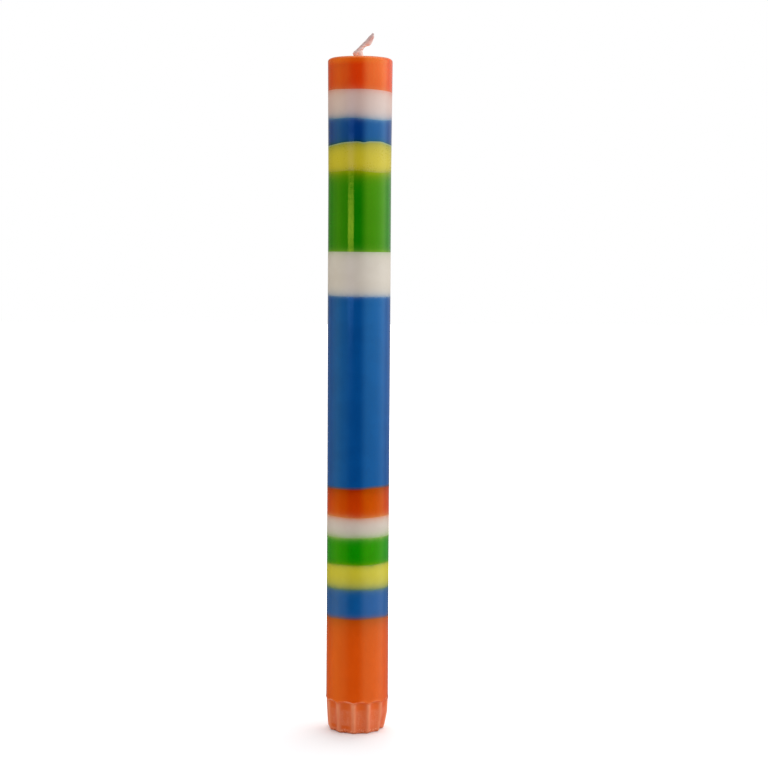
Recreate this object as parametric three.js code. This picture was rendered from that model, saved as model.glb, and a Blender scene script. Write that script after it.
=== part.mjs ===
// A striped dinner candle. Thirteen bands of coloured wax are poured one on another round a
// plaited cotton wick. The foot is pressed into flutes, which grip a candlestick's socket.
// Millimetres, +Z up. The origin is the centre of the foot's flat end, and the front faces -Y.
// A bearing is an angle round the axis in degrees: 0 at the front, 90 at +X.

import * as THREE from "three";

// Wax column
const CANDLE_RADIUS = 11.65;
const TIP_FLARE = 0.3;
const TIP_FLARE_LENGTH = 40;
const RIM_WIDTH = 2.0;
const RIM_HEIGHT = 1.2;
const RIM_STEPS = 4;
const WAX_CREEP_RADIUS = 3.6;
const WAX_CREEP_HEIGHT = 0.3;

// Length of each band along the axis, from the foot up
const FOOT_ORANGE_LENGTH = 43.5;
const LOWER_BLUE_LENGTH = 10.9;
const LOWER_YELLOW_LENGTH = 9.2;
const LOWER_GREEN_LENGTH = 9.9;
const LOWER_WHITE_LENGTH = 7.9;
const LOWER_ORANGE_LENGTH = 10.7;
const MIDDLE_BLUE_LENGTH = 70.8;
const MIDDLE_WHITE_LENGTH = 16.4;
const UPPER_GREEN_LENGTH = 29.4;
const UPPER_YELLOW_LENGTH = 10.7;
const UPPER_BLUE_LENGTH = 8.3;
const UPPER_WHITE_LENGTH = 11.0;
const TIP_ORANGE_LENGTH = 11.8;

// Fluted foot
const FLUTES = 12;
const SIDES_PER_FLUTE = 5;
const FLUTE_RIDGE_BEARING = -6;
const FLUTE_DEPTH = 0.8;
const FLUTE_HEIGHT = 11.5;
const LEDGE_STEP = 0.2;
const FOOT_TAPER = 0.4;
const FOOT_CHAMFER_WIDTH = 0.6;
const FOOT_CHAMFER_HEIGHT = 1.1;
const LEDGE_UNDERCUT = 0.5;
const LEDGE_TILT = 0.4;
const LEDGE_TILT_BEARING = -90;
const LIP_OVERHANG = 0.1;
const LIP_HEIGHT = 0.4;

// Wick
const WICK_THICKNESS = 2.0;
const WICK_WIDTH = 2.2;
const WICK_CLEARANCE = 0.3;
const WICK_RECESS = 0.5;
const WICK_SIDES = 12;
const LEAN_ANGLE = 50;
const LEAN_RADIUS = 1.1;
const LEAN_LENGTH = 0.25;
const KINK_RADIUS = 1.05;
const FREE_END_SLOPE = 45;
const FREE_END_LENGTH = 6.9;
const FLARE_LENGTH = 3.2;
const FLARE_THICKNESS = 2.5;
const END_CUT_ANGLE = 50;
const HELD_STEP = 25;
const FREE_STEP = 0.3;

const bands = [
  { name: "foot_band_orange", wax: "orange", length: FOOT_ORANGE_LENGTH },
  { name: "lower_band_blue", wax: "blue", length: LOWER_BLUE_LENGTH },
  { name: "lower_band_yellow", wax: "yellow", length: LOWER_YELLOW_LENGTH },
  { name: "lower_band_green", wax: "green", length: LOWER_GREEN_LENGTH },
  { name: "lower_band_white", wax: "white", length: LOWER_WHITE_LENGTH },
  { name: "lower_band_orange", wax: "orange", length: LOWER_ORANGE_LENGTH },
  { name: "middle_band_blue", wax: "blue", length: MIDDLE_BLUE_LENGTH },
  { name: "middle_band_white", wax: "white", length: MIDDLE_WHITE_LENGTH },
  { name: "upper_band_green", wax: "green", length: UPPER_GREEN_LENGTH },
  { name: "upper_band_yellow", wax: "yellow", length: UPPER_YELLOW_LENGTH },
  { name: "upper_band_blue", wax: "blue", length: UPPER_BLUE_LENGTH },
  { name: "upper_band_white", wax: "white", length: UPPER_WHITE_LENGTH },
  { name: "tip_band_orange", wax: "orange", length: TIP_ORANGE_LENGTH },
];

// The pour line on top of each band, where the next pour began. It lifts by its tilt towards
// a bearing, and ripples in a number of waves.
const pourLines = {
  foot_band_orange: { tilt: 0.05, bearing: 28, ripple: 0.15, waves: 4 },
  lower_band_blue: { tilt: 0.13, bearing: 15, ripple: 0.1, waves: 3 },
  lower_band_yellow: { tilt: 0.2, bearing: 60, ripple: 0.12, waves: 4 },
  lower_band_green: { tilt: 0.13, bearing: 60, ripple: 0.06, waves: 3 },
  lower_band_white: { tilt: 0.03, bearing: 60, ripple: 0.17, waves: 3 },
  lower_band_orange: { tilt: 0.32, bearing: 70, ripple: 0.12, waves: 3 },
  middle_band_blue: { tilt: 0.15, bearing: -90, ripple: 0.04, waves: 3 },
  middle_band_white: { tilt: 0.04, bearing: -60, ripple: 0.02, waves: 2 },
  upper_band_green: { tilt: 0.1, bearing: -10, ripple: 0.2, waves: 4 },
  upper_band_yellow: { tilt: 0.3, bearing: 12, ripple: 0.5, waves: 2 },
  upper_band_blue: { tilt: 0.1, bearing: -90, ripple: 0.2, waves: 2 },
  upper_band_white: { tilt: 0.4, bearing: -30, ripple: 0.1, waves: 2 },
};

// The ledge over the flutes isn't quite level either.
const ledgeLine = { tilt: LEDGE_TILT, bearing: LEDGE_TILT_BEARING, ripple: 0, waves: 1 };

const candleHeight = bands.reduce((height, band) => height + band.length, 0);
const footTopRadius = CANDLE_RADIUS - LEDGE_STEP;
const footBottomRadius = footTopRadius - FOOT_TAPER;
const footFlatRadius = footBottomRadius - FOOT_CHAMFER_WIDTH;
const boreRadius = WICK_WIDTH / 2 + WICK_CLEARANCE;
const sidesRound = FLUTES * SIDES_PER_FLUTE;
const radians = THREE.MathUtils.degToRad;

const finishes = {
  orange: new THREE.MeshStandardMaterial({ color: "#d0561e", roughness: 0.38, metalness: 0 }),
  blue: new THREE.MeshStandardMaterial({ color: "#145c9e", roughness: 0.36, metalness: 0 }),
  yellow: new THREE.MeshStandardMaterial({ color: "#c8bf3c", roughness: 0.36, metalness: 0 }),
  green: new THREE.MeshStandardMaterial({ color: "#378a10", roughness: 0.34, metalness: 0 }),
  white: new THREE.MeshStandardMaterial({ color: "#d8cbc0", roughness: 0.4, metalness: 0 }),
  cotton: new THREE.MeshStandardMaterial({ color: "#d9b8aa", roughness: 0.85, metalness: 0 }),
};

// Turns a profile round the Z axis. The profile closes on itself or ends on the axis, and
// each of its turned points then goes where place puts it.
function turnedSolid(profile, sides, place) {
  const geometry = new THREE.LatheGeometry(profile, sides);
  const points = geometry.getAttribute("position");
  for (let i = 0; i < points.count; i += 1) {
    const spot = place(points.getX(i), -points.getZ(i), points.getY(i));
    points.setXYZ(i, spot.x, spot.y, spot.z);
  }
  geometry.computeVertexNormals();
  return geometry;
}

function piece(name, geometry, finish) {
  const mesh = new THREE.Mesh(geometry, finish.clone());
  mesh.name = name;
  return mesh;
}

// How far a pour line lies above its mean level at a place on the candle's cross-section. The
// foot's flat end and the candle's top have no pour line, and stay level.
function pourLineRise(line, x, y) {
  if (!line) {
    return 0;
  }
  const bearing = Math.atan2(x, -y);
  const lift = line.tilt * Math.cos(bearing - radians(line.bearing));
  const ripple = line.ripple * Math.cos(line.waves * (bearing - radians(line.bearing)));
  return (lift + ripple) * Math.hypot(x, y) / CANDLE_RADIUS;
}

// Bends a band's level ends to the pour lines below and above it.
function settle(band, x, y, z) {
  const share = THREE.MathUtils.clamp((z - band.bottom) / band.length, 0, 1);
  const below = pourLineRise(band.lineBelow, x, y);
  const above = pourLineRise(pourLines[band.name], x, y);
  return z + THREE.MathUtils.lerp(below, above, share);
}

// The column's radius at a height. It widens a little towards the tip.
function columnRadius(height) {
  const flared = THREE.MathUtils.clamp(1 - (candleHeight - height) / TIP_FLARE_LENGTH, 0, 1);
  return CANDLE_RADIUS + TIP_FLARE * flared;
}

function plainBand(band) {
  const top = band.bottom + band.length;
  const profile = [
    new THREE.Vector2(boreRadius, band.bottom),
    new THREE.Vector2(columnRadius(band.bottom), band.bottom),
    new THREE.Vector2(columnRadius(top), top),
    new THREE.Vector2(boreRadius, top),
    new THREE.Vector2(boreRadius, band.bottom),
  ];
  const place = (x, y, z) => new THREE.Vector3(x, y, settle(band, x, y, z));
  return turnedSolid(profile, sidesRound, place);
}

// The foot band narrows below a ledge, where it is pressed into hollow flutes.
function footBand(band) {
  const flutedTop = FLUTE_HEIGHT - LEDGE_UNDERCUT;
  const profile = [
    new THREE.Vector2(boreRadius, 0),
    new THREE.Vector2(footFlatRadius, 0),
    new THREE.Vector2(footBottomRadius, FOOT_CHAMFER_HEIGHT),
    new THREE.Vector2(footTopRadius, flutedTop),
    new THREE.Vector2(CANDLE_RADIUS + LIP_OVERHANG, FLUTE_HEIGHT),
    new THREE.Vector2(CANDLE_RADIUS, FLUTE_HEIGHT + LIP_HEIGHT),
    new THREE.Vector2(CANDLE_RADIUS, band.length),
    new THREE.Vector2(boreRadius, band.length),
    new THREE.Vector2(boreRadius, 0),
  ];
  const halfwayUnderLedge = FLUTE_HEIGHT - LEDGE_UNDERCUT / 2;
  const halfwayToBore = (boreRadius + footFlatRadius) / 2;
  const place = (x, y, z) => {
    const radius = Math.hypot(x, y);
    const fluted = z < halfwayUnderLedge && radius > halfwayToBore;
    const fromRidge = Math.atan2(x, -y) - radians(FLUTE_RIDGE_BEARING);
    const hollow = FLUTE_DEPTH * Math.abs(Math.sin(fromRidge * FLUTES / 2));
    const shrink = fluted ? (radius - hollow) / radius : 1;
    const nearLedge = Math.min(z / FLUTE_HEIGHT, (band.length - z) / (band.length - FLUTE_HEIGHT));
    const lift = nearLedge * pourLineRise(ledgeLine, x, y);
    return new THREE.Vector3(x * shrink, y * shrink, settle(band, x, y, z) + lift);
  };
  return turnedSolid(profile, sidesRound, place);
}

// The tip band has a rounded rim, and its wax creeps a little way up the wick.
function tipBand(band) {
  const roundedRim = [];
  for (let i = 0; i <= RIM_STEPS; i += 1) {
    const angle = Math.PI / 2 * i / RIM_STEPS;
    roundedRim.push(new THREE.Vector2(
      columnRadius(candleHeight) - RIM_WIDTH * (1 - Math.cos(angle)),
      candleHeight - RIM_HEIGHT * (1 - Math.sin(angle)),
    ));
  }
  const profile = [
    new THREE.Vector2(boreRadius, band.bottom),
    new THREE.Vector2(columnRadius(band.bottom), band.bottom),
    ...roundedRim,
    new THREE.Vector2(WAX_CREEP_RADIUS, candleHeight),
    new THREE.Vector2(boreRadius, candleHeight + WAX_CREEP_HEIGHT),
    new THREE.Vector2(boreRadius, band.bottom),
  ];
  const place = (x, y, z) => new THREE.Vector3(x, y, settle(band, x, y, z));
  return turnedSolid(profile, sidesRound, place);
}

// The wick's centre line in the XZ plane. It runs straight up the bore, leans to -X where it
// leaves the wax, kinks, and slopes away to +X.
function wickRoute() {
  const lean = radians(LEAN_ANGLE);
  const slope = radians(FREE_END_SLOPE);
  const route = new THREE.Path();
  route.moveTo(0, WICK_RECESS);
  route.lineTo(0, candleHeight);
  route.absarc(-LEAN_RADIUS, candleHeight, LEAN_RADIUS, 0, lean, false);
  const leanStart = route.getPoint(1);
  const kinkStart = new THREE.Vector2(-Math.sin(lean), Math.cos(lean));
  kinkStart.multiplyScalar(LEAN_LENGTH).add(leanStart);
  route.lineTo(kinkStart.x, kinkStart.y);
  const kinkCentre = new THREE.Vector2(Math.cos(lean), Math.sin(lean));
  kinkCentre.multiplyScalar(KINK_RADIUS).add(kinkStart);
  route.absarc(kinkCentre.x, kinkCentre.y, KINK_RADIUS, Math.PI + lean, Math.PI / 2 + slope, true);
  const freeStart = route.getPoint(1);
  const freeEnd = new THREE.Vector2(Math.cos(slope), Math.sin(slope));
  freeEnd.multiplyScalar(FREE_END_LENGTH).add(freeStart);
  route.lineTo(freeEnd.x, freeEnd.y);
  return route;
}

// The wick is one flat plait. Its free end is frayed wider and cut on the slant.
function wickSolid() {
  const route = wickRoute();
  const length = route.getLength();
  const heldLength = candleHeight - WICK_RECESS;
  const heldSteps = Math.ceil(heldLength / HELD_STEP);
  const freeSteps = Math.ceil((length - heldLength) / FREE_STEP);
  const profile = [new THREE.Vector2(0, 0)];
  for (let i = 0; i < heldSteps; i += 1) {
    profile.push(new THREE.Vector2(1, heldLength * i / heldSteps));
  }
  for (let i = 0; i <= freeSteps; i += 1) {
    profile.push(new THREE.Vector2(1, THREE.MathUtils.lerp(heldLength, length, i / freeSteps)));
  }
  profile.push(new THREE.Vector2(0, length));

  const place = (across, sideways, along) => {
    const share = Math.min(along / length, 1);
    const centre = route.getPoint(share);
    const heading = route.getTangent(share);
    const flare = THREE.MathUtils.clamp(1 - (length - along) / FLARE_LENGTH, 0, 1);
    const offset = across * THREE.MathUtils.lerp(WICK_THICKNESS, FLARE_THICKNESS, flare) / 2;
    const cutBack = flare * offset * Math.tan(radians(END_CUT_ANGLE));
    return new THREE.Vector3(
      centre.x + heading.y * offset - heading.x * cutBack,
      sideways * WICK_WIDTH / 2,
      centre.y - heading.x * offset - heading.y * cutBack,
    );
  };
  return turnedSolid(profile, WICK_SIDES, place);
}

const candle = new THREE.Group();
const bandShapes = { foot_band_orange: footBand, tip_band_orange: tipBand };
let bottom = 0;
let lineBelow = null;
for (const band of bands) {
  const shape = bandShapes[band.name] ?? plainBand;
  candle.add(piece(band.name, shape({ ...band, bottom, lineBelow }), finishes[band.wax]));
  bottom += band.length;
  lineBelow = pourLines[band.name];
}
candle.add(piece("wick", wickSolid(), finishes.cotton));

export default candle;
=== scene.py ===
# A striped dinner candle: thirteen pours of coloured wax round a plaited cotton wick, with a
# foot pressed into flutes. Metres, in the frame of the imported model: +Z up, the front faces -Y.
# A bearing is an angle round the candle's axis in degrees, 0 at the front and 90 at +X.

import math

import bpy
from mathutils import Matrix, Vector, noise


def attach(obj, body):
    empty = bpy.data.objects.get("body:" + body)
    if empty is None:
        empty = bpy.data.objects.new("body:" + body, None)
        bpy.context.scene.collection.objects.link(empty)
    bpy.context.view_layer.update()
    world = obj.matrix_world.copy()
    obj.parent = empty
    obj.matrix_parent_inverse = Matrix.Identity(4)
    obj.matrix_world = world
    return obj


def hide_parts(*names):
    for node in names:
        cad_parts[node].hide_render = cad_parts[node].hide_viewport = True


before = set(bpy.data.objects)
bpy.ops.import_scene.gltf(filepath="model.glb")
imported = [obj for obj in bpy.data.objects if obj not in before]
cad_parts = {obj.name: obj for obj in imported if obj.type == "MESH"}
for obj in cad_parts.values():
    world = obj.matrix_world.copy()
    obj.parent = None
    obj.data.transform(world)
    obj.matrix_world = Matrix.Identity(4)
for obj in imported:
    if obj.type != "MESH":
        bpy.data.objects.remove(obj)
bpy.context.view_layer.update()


# Studio. The candle stands on a white sweep in a white room, with its strongest softbox on the
# right. The wax reflects the bright right wall and the warmer, dimmer left one as a soft sheen.
# A low wide lamp left of the camera draws the thin bright stripe on the upper green.

CAMERA_PLACE = (0, -0.70816, 0.18003)
CAMERA_LENS = 89.13
CAMERA_TURN = -0.765
CAMERA_TILT = 85.973
CAMERA_ROLL = 0.350
AIM_HEIGHT = 0.18
STRIPE_LIGHT = (0.80, 0.52, 0.80)

scene = bpy.context.scene
camera_data = bpy.data.cameras.new("camera")
camera_data.lens = CAMERA_LENS
camera_data.sensor_width = 36
camera_data.clip_end = 50
camera = bpy.data.objects.new("camera", camera_data)
camera.matrix_world = (
    Matrix.Translation(CAMERA_PLACE)
    @ Matrix.Rotation(math.radians(CAMERA_TURN), 4, "Z")
    @ Matrix.Rotation(math.radians(CAMERA_TILT), 4, "X")
    @ Matrix.Rotation(math.radians(CAMERA_ROLL), 4, "Z")
)
scene.collection.objects.link(camera)
scene.camera = camera
scene.view_settings.view_transform = "Standard"


def softbox(name, bearing, distance, height, width, tall, brightness):
    """Hangs a softbox that faces the candle. Brightness 1 is as bright as white paper."""
    lamp = bpy.data.lights.new(name, "AREA")
    lamp.shape = "RECTANGLE"
    lamp.size = width
    lamp.size_y = tall
    lamp.energy = brightness * math.pi * width * tall
    box = bpy.data.objects.new(name, lamp)
    angle = math.radians(bearing)
    box.location = (distance * math.sin(angle), -distance * math.cos(angle), height)
    to_candle = Vector((0, 0, AIM_HEIGHT)) - box.location
    box.rotation_euler = to_candle.to_track_quat("-Z", "Y").to_euler()
    box.visible_camera = False
    box.visible_glossy = False
    scene.collection.objects.link(box)
    return box


softbox("right softbox", bearing=80, distance=1.2, height=0.80, width=1.6, tall=0.9, brightness=1.5)
softbox("top softbox", bearing=165, distance=0.65, height=1.25, width=1.2, tall=1.0, brightness=3.2)
softbox("left softbox", bearing=-75, distance=0.9, height=0.90, width=1.2, tall=0.9, brightness=0.35)
stripe_lamp = softbox(
    "stripe lamp", bearing=-31.8, distance=1.5, height=0.212, width=0.56, tall=0.06, brightness=7.5
)
stripe_lamp.data.color = STRIPE_LIGHT
stripe_lamp.visible_glossy = True


def node(tree, kind, sockets=None, **settings):
    """Adds a shader node. A socket takes a value, or a link from another node's output."""
    made = tree.nodes.new("ShaderNode" + kind)
    for name, value in settings.items():
        setattr(made, name, value)
    for socket, value in (sockets or {}).items():
        if isinstance(value, bpy.types.NodeSocket):
            tree.links.new(value, made.inputs[socket])
        else:
            made.inputs[socket].default_value = value
    return made


# The walls that the wax reflects: the bearing of each place, how bright it is, and how warm.
WALLS = (
    (-180, 0.25, 0.0),
    (-125, 0.20, 0.8),
    (-102, 0.45, 1.0),
    (-85, 0.62, 1.0),
    (-55, 0.42, 0.6),
    (-25, 0.02, 0.0),
    (0, 0.02, 0.0),
    (35, 1.00, 0.0),
    (65, 1.10, 0.0),
    (95, 1.35, 0.0),
    (125, 0.50, 0.0),
    (180, 0.25, 0.0),
)
WARM_RED = 0.12
WARM_BLUE = -0.55
BRIGHTEST_WALL = 1.35
LOW_WALL_SHARE = 0.62
HIGH_WALL_SHARE = 1.70
LOW_LEFT_SHARE = 0.92
HIGH_LEFT_SHARE = 1.25
LEFT_WALL_END = -20
WALL_SLOPE = 0.12
ROOM_LEVEL = 0.57
WHITE = (1, 1, 1, 1)
SWEEP_WIDTH = 6.0
SWEEP_DEPTH = 4.0
SWEEP_FRONT_EDGE = -0.10
SWEEP_PAINT = (0.8, 0.8, 0.8, 1)
SHADOW_PAINT = (0.90, 0.90, 0.91, 1)
GLOW_AT_FOOT = 0.10
GLOW_AFAR = 1.0
GLOW_START = 0.05
GLOW_REACH = 0.35

world = bpy.data.worlds.new("studio")
scene.world = world
world.use_nodes = True
room = world.node_tree
room.nodes.clear()
direction = node(room, "TexCoord").outputs["Generated"]
way = node(room, "SeparateXYZ", {0: direction}).outputs
ahead = node(room, "Math", {0: way["Y"], 1: -1.0}, operation="MULTIPLY").outputs[0]
round_room = node(room, "Math", {0: way["X"], 1: ahead}, operation="ARCTAN2").outputs[0]
share_round = node(room, "MapRange", {
    "Value": round_room, "From Min": -math.pi, "From Max": math.pi,
}).outputs["Result"]
walls = node(room, "ValToRGB", {"Fac": share_round})
ramp = walls.color_ramp
ramp.interpolation = "EASE"
for bearing, *_ in WALLS[1:-1]:
    ramp.elements.new((bearing + 180) / 360)
for stop, (_, level, warmth) in zip(ramp.elements, WALLS):
    shown = level / BRIGHTEST_WALL
    stop.color = (shown * (1 + WARM_RED * warmth), shown, shown * (1 + WARM_BLUE * warmth), 1)


def wall_share(on_left, elsewhere):
    """How bright the walls are at one height, on the left and elsewhere."""
    return node(room, "MapRange", {
        "Value": round_room, "From Min": math.radians(LEFT_WALL_END), "From Max": 0.0,
        "To Min": on_left * BRIGHTEST_WALL, "To Max": elsewhere * BRIGHTEST_WALL,
    }).outputs["Result"]


slope = node(room, "MapRange", {
    "Value": way["Z"], "From Min": -WALL_SLOPE, "From Max": WALL_SLOPE,
    "To Min": wall_share(LOW_LEFT_SHARE, LOW_WALL_SHARE),
    "To Max": wall_share(HIGH_LEFT_SHARE, HIGH_WALL_SHARE),
}).outputs["Result"]
soft_light = node(room, "Background", {"Color": WHITE, "Strength": ROOM_LEVEL})
reflected = node(room, "Background", {"Color": walls.outputs["Color"], "Strength": slope})
backdrop = node(room, "Background", {"Color": WHITE, "Strength": 1.0})
path = node(room, "LightPath")
seen_in_gloss = node(room, "MixShader", {
    0: path.outputs["Is Glossy Ray"], 1: soft_light.outputs[0], 2: reflected.outputs[0],
})
seen_through = node(room, "MixShader", {
    0: path.outputs["Is Transmission Ray"], 1: seen_in_gloss.outputs[0], 2: backdrop.outputs[0],
})
seen = node(room, "MixShader", {
    0: path.outputs["Is Camera Ray"], 1: seen_through.outputs[0], 2: backdrop.outputs[0],
})
node(room, "OutputWorld", {"Surface": seen.outputs[0]})

bpy.ops.object.select_all(action="DESELECT")
bpy.ops.mesh.primitive_plane_add(size=1, location=(0, SWEEP_FRONT_EDGE + SWEEP_DEPTH / 2, 0))
sweep = bpy.context.object
sweep.name = "white_sweep"
sweep.scale = (SWEEP_WIDTH, SWEEP_DEPTH, 1)
bpy.ops.object.transform_apply(location=True, scale=True)
paper = bpy.data.materials.new("white paper")
paper.use_nodes = True
tree = paper.node_tree
tree.nodes.clear()
lit_paper = node(tree, "BsdfDiffuse", {"Color": SWEEP_PAINT})
shadow_paper = node(tree, "BsdfDiffuse", {"Color": SHADOW_PAINT})
spot = node(tree, "TexCoord").outputs["Object"]
from_candle = node(tree, "VectorMath", {0: spot}, operation="LENGTH").outputs["Value"]
glow_level = node(tree, "MapRange", {
    "Value": from_candle, "From Min": GLOW_START, "From Max": GLOW_REACH,
    "To Min": GLOW_AT_FOOT, "To Max": GLOW_AFAR,
}).outputs["Result"]
glow = node(tree, "Emission", {"Color": WHITE, "Strength": glow_level})
seen_paper = node(tree, "AddShader", {0: shadow_paper.outputs[0], 1: glow.outputs[0]})
path = node(tree, "LightPath")
sweep_shader = node(tree, "MixShader", {
    0: path.outputs["Is Camera Ray"], 1: lit_paper.outputs[0], 2: seen_paper.outputs[0],
})
node(tree, "OutputMaterial", {"Surface": sweep_shader.outputs[0]})
sweep.data.materials.append(paper)
sweep.visible_glossy = False


# Foot band. The lowest pour of orange wax, 43 mm long. Its lowest part is pressed into twelve
# hollow flutes between narrow ridges, which grip a candlestick's socket. The pressing leaves a
# ledge with a small lip, a paler skin, and crumbs broken from the bottom edge.

CANDLE_RADIUS = 0.01165
BORE_RADIUS = 0.0014
STEPS_ROUND = 240
OUTER_SHARE = 0.99
NO_SEAM = 1.0


class PourLine:
    """The line where the next pour began on a band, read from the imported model's node. A wave
    is a place where the wax ran a little higher or lower: its bearing, width and rise. The lift
    raises the whole line."""

    def __init__(self, band, waves=(), lift=0.0):
        edge = {}
        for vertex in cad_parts[band].data.vertices:
            x, y, z = vertex.co
            if math.hypot(x, y) > OUTER_SHARE * CANDLE_RADIUS:
                bearing = round(math.degrees(math.atan2(x, -y)), 1) % 360
                edge[bearing] = max((z, math.hypot(x, y)), edge.get(bearing, (0, 0)))
        self.level = sum(z for z, _ in edge.values()) / len(edge)
        self.radius = sum(radius for _, radius in edge.values()) / len(edge)
        rim = sorted((bearing, z) for bearing, (z, _) in edge.items())
        self.points = [(rim[-1][0] - 360, rim[-1][1]), *rim, (rim[0][0] + 360, rim[0][1])]
        self.waves = waves
        self.lift = lift

    def height(self, x, y):
        """How high the line lies over a point of the candle's cross-section."""
        bearing = math.degrees(math.atan2(x, -y)) % 360
        for (start, low), (end, high) in zip(self.points, self.points[1:]):
            if start <= bearing <= end:
                height = low + (high - low) * (bearing - start) / (end - start) + self.lift
        for middle, width, rise in self.waves:
            off = (bearing - middle + 180) % 360 - 180
            height += rise * math.exp(-((off / width) ** 2))
        return self.level + (height - self.level) * math.hypot(x, y) / self.radius


def start_ring(name, radius, height):
    """Starts a turned piece with one open ring of points, and leaves it in edit mode."""
    bpy.ops.object.select_all(action="DESELECT")
    bpy.ops.mesh.primitive_circle_add(
        vertices=STEPS_ROUND, radius=radius, location=(0, 0, height)
    )
    ring = bpy.context.object
    ring.name = name
    bpy.ops.object.transform_apply(location=True)
    bpy.ops.object.mode_set(mode="EDIT")
    bpy.ops.mesh.select_mode(type="VERT")
    bpy.ops.mesh.select_all(action="SELECT")
    return ring


def pull_rings(profile):
    """Pulls the selected ring along a profile of (radius, height) points, a ring for each."""
    (radius, height), *rest = profile
    for next_radius, next_height in rest:
        bpy.ops.mesh.extrude_region_move(
            TRANSFORM_OT_translate={"value": (0, 0, next_height - height)}
        )
        grow = next_radius / radius
        bpy.ops.transform.resize(value=(grow, grow, 1), center_override=(0, 0, 0))
        radius, height = next_radius, next_height


def close_rings():
    """Joins the last ring to the first, so that the piece is one closed skin."""
    bpy.ops.mesh.select_all(action="DESELECT")
    bpy.ops.mesh.select_non_manifold()
    bpy.ops.mesh.bridge_edge_loops()
    bpy.ops.mesh.select_all(action="SELECT")
    bpy.ops.mesh.normals_make_consistent(inside=False)
    bpy.ops.object.mode_set(mode="OBJECT")


def turned(name, profile):
    """A closed ring of wax with that profile, which runs from the bore round to the bore."""
    piece = start_ring(name, *profile[0])
    pull_rings(profile)
    close_rings()
    return piece


def mark(piece, name, values):
    """Keeps a number for each point of a piece, for its material to read."""
    attribute = piece.data.attributes.new(name, "FLOAT", "POINT")
    attribute.data.foreach_set("value", values)


def settle(piece, below, above):
    """Bends a band's level ends to the pour lines below and above it, and marks how far each
    point of its skin lies from them."""
    heights = [vertex.co.z for vertex in piece.data.vertices]
    bottom = below.level if below else min(heights)
    top = above.level if above else max(heights)
    over_seam, under_seam = [], []
    for vertex in piece.data.vertices:
        x, y, z = vertex.co
        share = min(max((z - bottom) / (top - bottom), 0), 1)
        low = below.height(x, y) if below else bottom
        high = above.height(x, y) if above else top
        vertex.co.z += (1 - share) * (low - bottom) + share * (high - top)
        over_seam.append(vertex.co.z - low if below else NO_SEAM)
        under_seam.append(high - vertex.co.z if above else NO_SEAM)
    mark(piece, "over_seam", over_seam)
    mark(piece, "under_seam", under_seam)


def put_in_frame(piece, cad_node, material, smooth_angle=40):
    """Shades and paints a piece, and hangs it on the frame in place of its CAD node."""
    bpy.ops.object.select_all(action="DESELECT")
    piece.select_set(True)
    bpy.context.view_layer.objects.active = piece
    bpy.ops.object.shade_smooth_by_angle(angle=math.radians(smooth_angle))
    piece.data.materials.clear()
    piece.data.materials.append(material)
    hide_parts(cad_node)
    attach(piece, "root")


def mix(tree, share, first, second, blend="MIX"):
    """Mixes two colours, each a value or another node's output."""
    sockets = {0: share, 6: first, 7: second}
    return node(tree, "Mix", sockets, data_type="RGBA", blend_type=blend).outputs[2]


def calculate(tree, operation, *values):
    """A number worked out from values or from other nodes' outputs."""
    return node(tree, "Math", dict(enumerate(values)), operation=operation).outputs[0]


def fade(tree, value, start, end, first=1.0, last=0.0):
    """Runs smoothly from the first level at the start to the last level at the end."""
    return node(tree, "MapRange", {
        "Value": value, "From Min": start, "From Max": end, "To Min": first, "To Max": last,
    }, interpolation_type="SMOOTHSTEP").outputs["Result"]


def speckle(tree, place, scale, detail=2.0, stretch=(1, 1, 1)):
    """Noise with that many spots to the metre, stretched along an axis where asked."""
    mapped = node(tree, "Mapping", {"Vector": place, "Scale": stretch}).outputs[0]
    spots = node(tree, "TexNoise", {"Vector": mapped, "Scale": scale, "Detail": detail})
    return spots.outputs["Fac"]


CLOUD_SPOTS = 140
CLOUD_EDGES = (0.35, 0.65)
CLOUD_ROUGHNESS = 0.05
GRAIN_SPOTS = 1500
GRAIN_ROUGHNESS = 0.08
GRAIN_DEPTH = 0.0000012
RING_SPOTS = 120
RING_STRETCH = (1, 1, 9)
RING_DEPTH = 0.000010
DENT_SPOTS = 55
DENT_DEPTH = 0.00003
FRINGE_SPOTS = 420
FRINGE_WIDTH = 0.0008
SEAM_LINE_WIDTH = 0.0008
STAIN_LEFT = 0.333


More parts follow.
